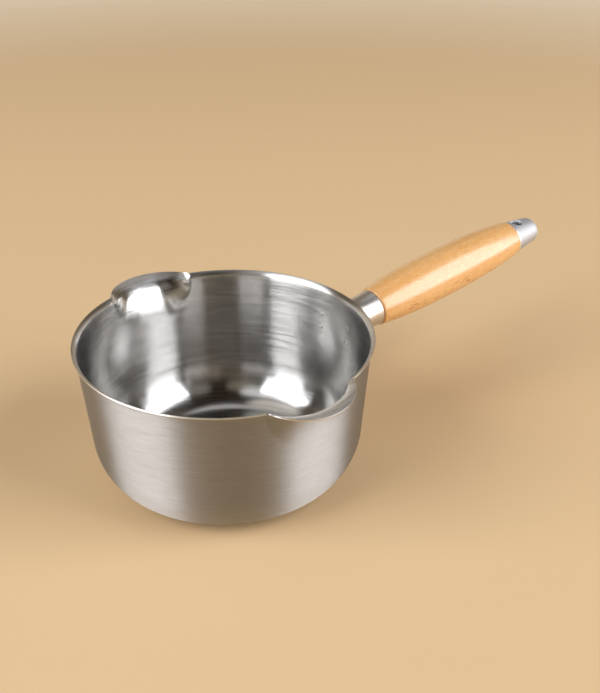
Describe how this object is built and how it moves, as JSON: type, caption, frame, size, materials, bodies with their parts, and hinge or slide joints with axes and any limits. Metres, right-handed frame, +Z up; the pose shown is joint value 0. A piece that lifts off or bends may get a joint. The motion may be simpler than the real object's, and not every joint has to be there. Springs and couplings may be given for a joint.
{
  "type": "milk pan",
  "caption": "Small deep drawn steel milk pan with a flared lip, two pressed pouring spouts, a waisted ferrule and a barrel-shaped wooden handle with a metal end cap.",
  "frame": {"origin": "centre of the flat base, on the pan's axis, on the plane it stands on", "axes": "+Z up, +X along the handle away from the pan, spouts towards +Y and -Y"},
  "size_m": [0.3094, 0.1824, 0.088],
  "materials": {
    "pan_steel": "brushed round the wall, satin",
    "ferrule_steel": "polished",
    "cap_steel": "satin with a bright bevel",
    "fixing_steel": "plain zinc plated",
    "beech": "clear gloss lacquer"
  },
  "bodies": {
    "root": {"pan_body": "pan_steel", "spot_welds": "pan_steel", "handle_bracket": "fixing_steel", "bracket_nut": "fixing_steel", "ferrule": "ferrule_steel", "wooden_handle": "beech", "tie_rod": "fixing_steel", "flat_washer": "fixing_steel", "spring_washer": "fixing_steel", "end_cap": "cap_steel"}
  },
  "joints": []
}
